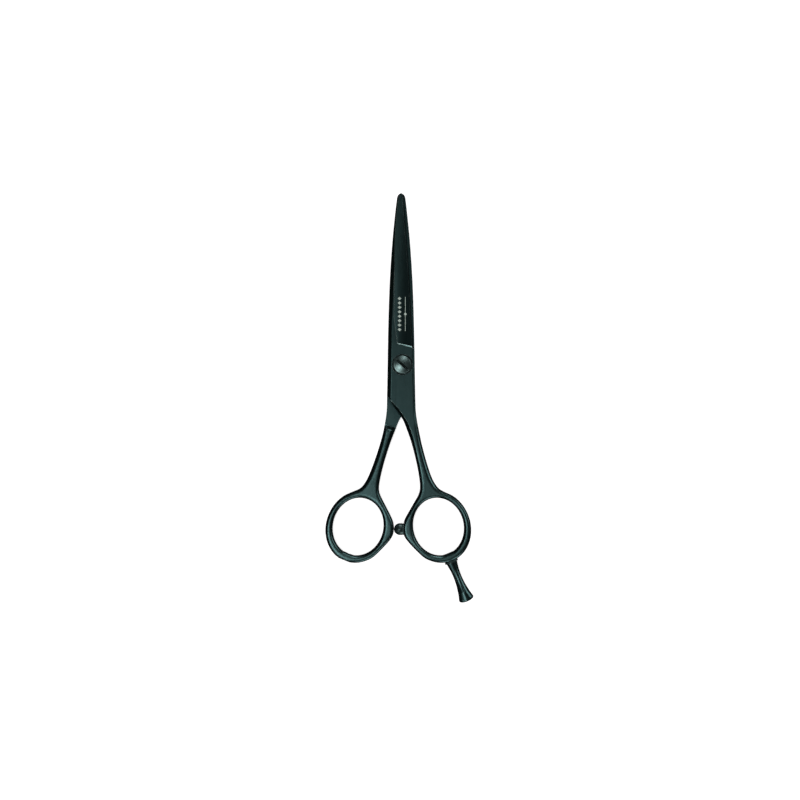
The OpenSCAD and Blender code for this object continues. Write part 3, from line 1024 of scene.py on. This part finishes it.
def etched():
    """The pale, slightly uneven surface of the mark."""
    material, tree, main = shader("etched_mark")
    speckle = noise(tree, 4000, 4)
    tone = mixed(tree, spread(tree, speckle, 0, 1), (0.3, 0.38, 0.33), (0.5, 0.58, 0.52))
    tree.links.new(tone, main.inputs["Base Color"])
    tree.links.new(spread(tree, speckle, 0.45, 0.65), main.inputs["Roughness"])
    tree.links.new(bump(tree, speckle, 0.3, 0.00001), main.inputs["Normal"])
    return material


# ---------------------------------------------------------------- the shears

STEEL = coated_steel()
BRIGHT = polished_steel()
NYLON = dark_polymer("nylon", ((0.003, 0.007, 0.007), (0.005, 0.01, 0.01)), (0.4, 0.55), 3000, 0.2)
RUBBER = dark_polymer("rubber", ((0.008, 0.014, 0.014), (0.013, 0.021, 0.021)), (0.22, 0.34), 2400, 0.25)

piece("front_blade_ground", front_blade(), "finger_half", "coated_steel", STEEL, "front_blade", sharp=24)
piece("rear_blade_ground", rear_blade(), "thumb_half", "coated_steel", STEEL, "rear_blade", sharp=24)
piece("front_handle_forged", front_handle(), "finger_half", "coated_steel", STEEL, "front_handle")
piece("rear_handle_forged", rear_handle(), "thumb_half", "coated_steel", STEEL, "rear_handle")
piece("pivot_screw_turned", pivot_screw(), "tension_screw", "polished_steel", BRIGHT, "pivot_screw", sharp=24)
piece("pivot_bush_moulded", pivot_bush(), "finger_half", "nylon", NYLON, "pivot_bush")
piece("bumper_moulded", bumper(), "finger_half", "rubber", RUBBER, "bumper", sharp=50)
piece("bumper_stud_threaded", moved(stud(BUMPER_STUD_R - 0.01, -2, 1.88, 0.4), bumper_frame()),
      "finger_half", "polished_steel", BRIGHT, "bumper_stud")
piece("finger_rest_turned", finger_rest(), "finger_half", "coated_steel", STEEL, "finger_rest")
piece("finger_rest_collar_moulded", finger_rest_collar(), "finger_half", "nylon", NYLON,
      "finger_rest_collar")
piece("finger_rest_stud_threaded", moved(stud(STUD_R - 0.01, -2.6, 4.0, 0.45), FRONT @ seat_frame(0)),
      "finger_half", "polished_steel", BRIGHT, "finger_rest_stud")
piece("blade_mark", blade_mark(), "finger_half", "polished_steel", etched())

# ---------------------------------------------------------------- stage, light and camera


def floor():
    """A plain pale floor, just under the shears. It stays out of the metal's reflections, as a
    floor that lies further back would."""
    bm = bmesh.new()
    bmesh.ops.create_grid(bm, x_segments=1, y_segments=1, size=2500)
    bmesh.ops.translate(bm, vec=(0, 0, -0.4), verts=bm.verts)
    bmesh.ops.scale(bm, vec=(MM, MM, MM), verts=bm.verts)
    made = linked("floor", bm)
    material, _, main = shader("floor_paint")
    main.inputs["Base Color"].default_value = (0.9, 0.9, 0.9, 1)
    main.inputs["Roughness"].default_value = 0.9
    main.inputs["Specular IOR Level"].default_value = 0
    main.inputs["Emission Color"].default_value = (1, 1, 1, 1)
    main.inputs["Emission Strength"].default_value = 0.75
    made.data.materials.append(material)
    made.visible_glossy = False


def lamp(name, polar, azimuth, size, radiance):
    """A soft lamp a metre away, so many degrees off the vertical and round from +X, that faces the
    shears. The camera doesn't see it."""
    polar, azimuth = math.radians(polar), math.radians(azimuth)
    flat = math.sin(polar)
    spot = Vector((flat * math.cos(azimuth), flat * math.sin(azimuth), math.cos(polar)))
    data = bpy.data.lights.new(name, "AREA")
    data.shape = "RECTANGLE"
    data.size, data.size_y = size
    data.energy = radiance * math.pi * size[0] * size[1]
    made = bpy.data.objects.new(name, data)
    bpy.context.scene.collection.objects.link(made)
    made.location = spot
    made.rotation_euler = (-spot).to_track_quat("-Z", "Y").to_euler()
    made.visible_camera = False


def camera():
    """Looks straight down on the shears, from as far as an 85 mm lens needs."""
    lens, sensor, width = 85, 36, 0.3022
    data = bpy.data.cameras.new("camera")
    data.lens, data.sensor_width = lens, sensor
    made = bpy.data.objects.new("camera", data)
    bpy.context.scene.collection.objects.link(made)
    made.location = (-0.00087, -0.01333, HALF_T * MM + width / 2 * lens / (sensor / 2))
    bpy.context.scene.camera = made


def world(level):
    """An even grey surrounding light."""
    made = bpy.data.worlds.new("studio")
    made.use_nodes = True
    made.node_tree.nodes["Background"].inputs["Color"].default_value = (level, level, level, 1)
    bpy.context.scene.world = made


floor()
lamp("overhead", 17, 222, (0.26, 0.24), 12)
lamp("above", 30, 76, (0.28, 0.26), 5)
lamp("upper_right", 66, 24, (0.5, 0.4), 5)
lamp("far_end", 76, 82, (0.5, 0.4), 8)
lamp("near_end", 82, 292, (0.7, 0.4), 6)
lamp("lower_left", 52, 235, (0.45, 0.45), 2.5)
world(0.035)
camera()
bpy.context.scene.view_settings.view_transform = "Standard"
